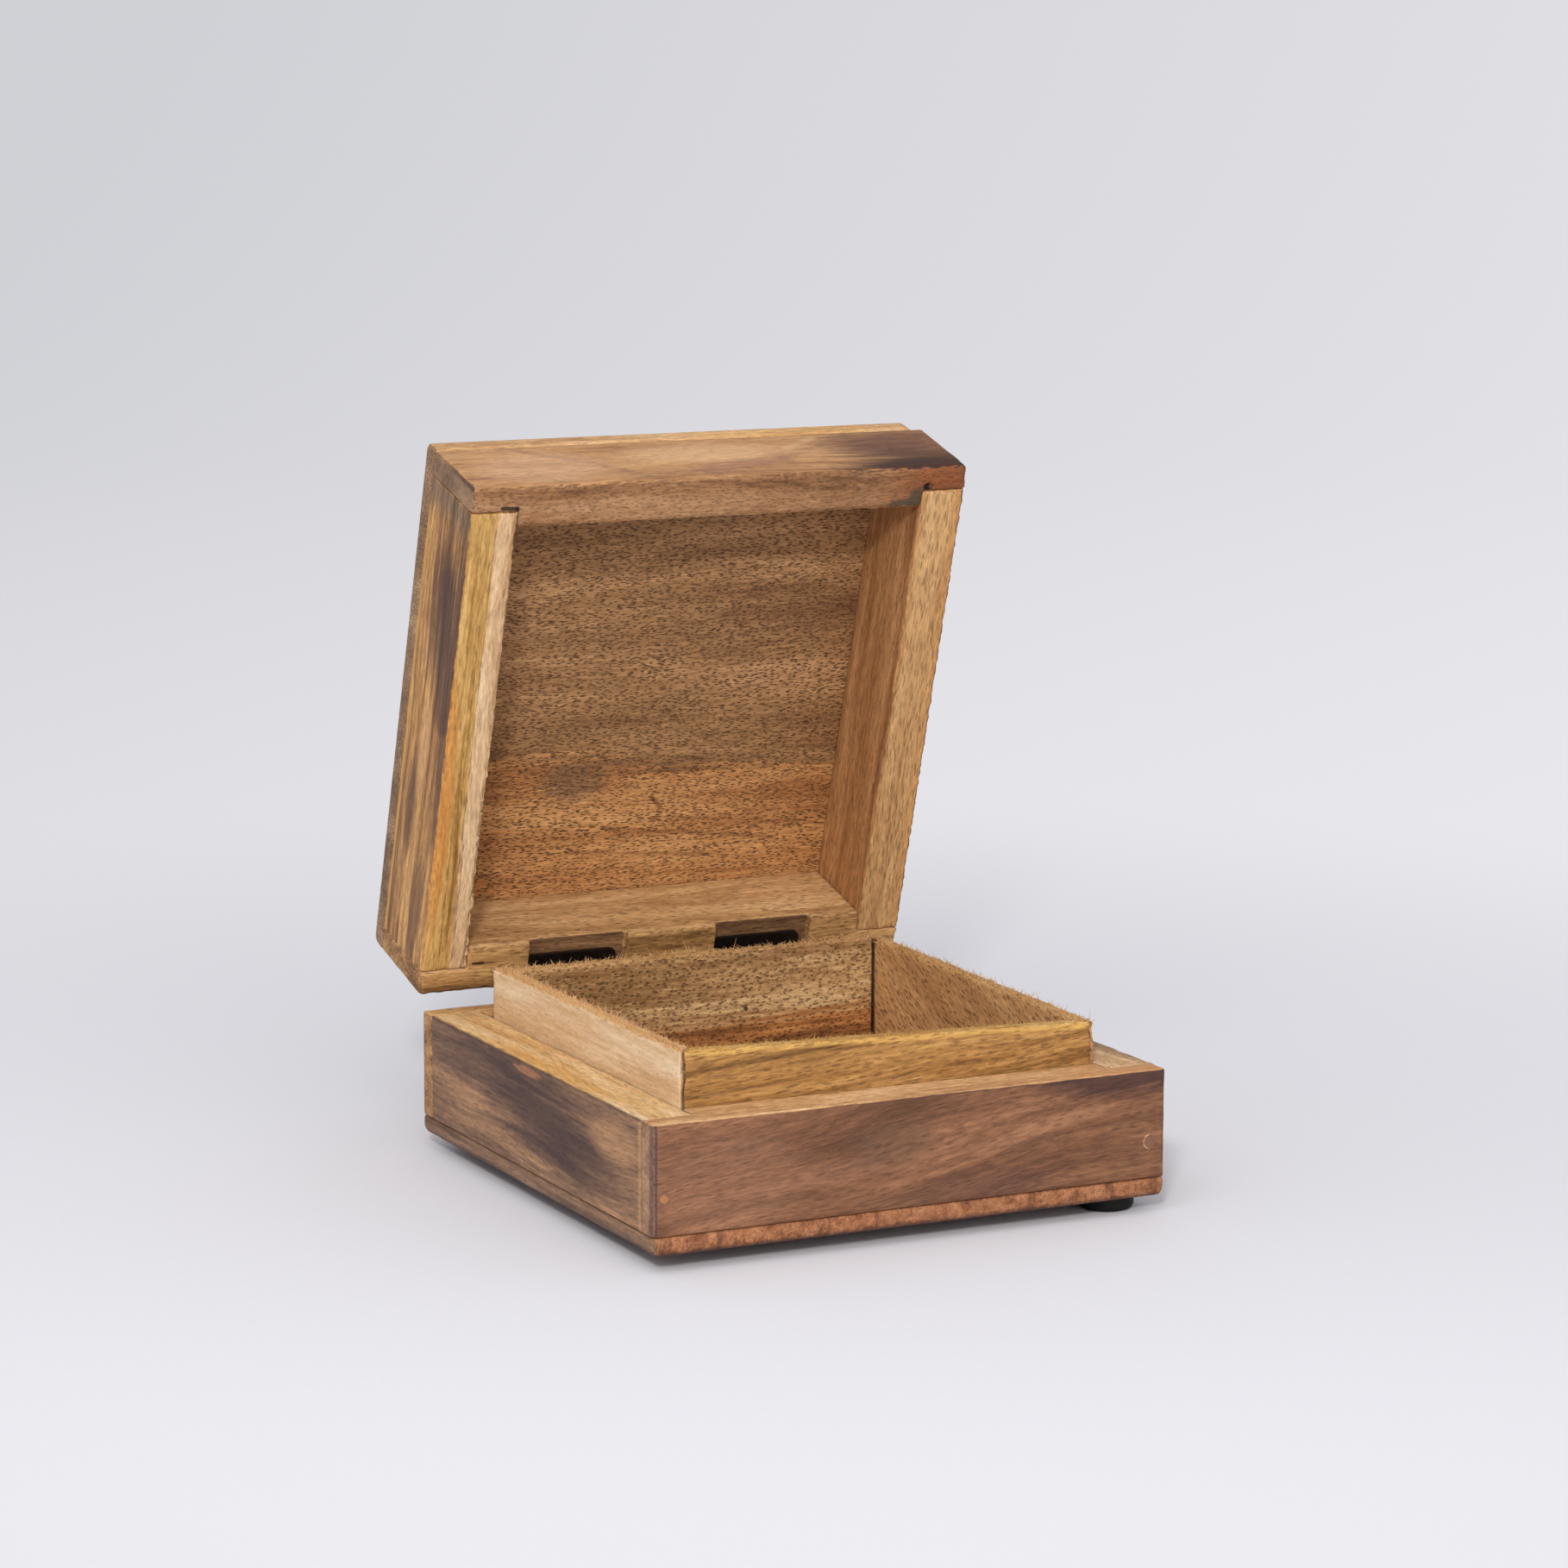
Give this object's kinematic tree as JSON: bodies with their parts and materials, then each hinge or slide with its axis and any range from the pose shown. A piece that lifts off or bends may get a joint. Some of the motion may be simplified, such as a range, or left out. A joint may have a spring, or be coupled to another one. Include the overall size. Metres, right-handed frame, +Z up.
{
  "type": "wooden spice box with hinged lid",
  "caption": "Small square hardwood box with a deep hinged lid on butt hinges, a thin-walled raised inner lip, rabbeted corners and bumper feet.",
  "frame": {"origin": "on the table, under the middle of the box's outline as it stands open at 73.8 degrees; the lower half's own middle is 11.7 mm in front of it", "axes": "+Z up, +X to the right along the front, +Y from the front to the hinges"},
  "size_m": [0.1, 0.125, 0.1321],
  "materials": {
    "base_wood": "oiled, reddish edge grain",
    "dark_wood": "oiled, purple-brown with dark streaks",
    "back_wood": "oiled, brown",
    "burnt_wood": "oiled, tan with a dark torched patch",
    "right_wood": "oiled, tan",
    "slip_gold": "rough sawn, golden",
    "slip_rough": "rough sawn, brown",
    "slip_pale": "rough sawn, pale",
    "slip_brown": "rough sawn, pinkish brown",
    "panel_wood": "oiled, brown with short dark pores",
    "pink_wood": "oiled, pinkish tan with a torched end",
    "lid_back_wood": "oiled, yellowish tan",
    "sap_wood": "oiled, yellow and tan with torched streaks",
    "lid_right_wood": "oiled, warm brown",
    "black_hinge": "satin black",
    "black_screw": "satin black, worn at the recess",
    "steel": "plain steel",
    "putty": "dried orange filler",
    "bumper": "matt black"
  },
  "bodies": {
    "box": {"bottom_board": "base_wood", "body_front_wall": "dark_wood", "body_back_wall": "back_wood", "body_left_wall": "burnt_wood", "body_right_wall": "right_wood", "liner_front": "slip_gold", "liner_back": "slip_rough", "liner_left": "slip_pale", "liner_right": "slip_brown", "liner_pin": "steel", "body_front_brads": "steel", "body_back_brads": "steel", "body_putty": "putty", "left_hinge_body_leaf": "black_hinge", "right_hinge_body_leaf": "black_hinge", "left_hinge_pin": "black_hinge", "right_hinge_pin": "black_hinge", "left_hinge_body_screws": "black_screw", "right_hinge_body_screws": "black_screw", "foot_front_left": "bumper", "foot_front_right": "bumper", "foot_back_left": "bumper", "foot_back_right": "bumper"},
    "lid": {"top_board": "panel_wood", "lid_front_wall": "pink_wood", "lid_back_wall": "lid_back_wood", "lid_left_wall": "sap_wood", "lid_right_wall": "lid_right_wood", "lid_front_brads": "steel", "lid_back_brads": "steel", "lid_putty": "putty", "left_hinge_lid_leaf": "black_hinge", "right_hinge_lid_leaf": "black_hinge", "left_hinge_lid_screws": "black_screw", "right_hinge_lid_screws": "black_screw"}
  },
  "joints": [
    {"name": "lid_hinge", "type": "hinge", "parent": "box", "child": "lid", "pos_m": [0, 0.04108, 0.0264], "axis": [-1, 0, 0], "range_deg": [-73.8, 106.2]}
  ]
}
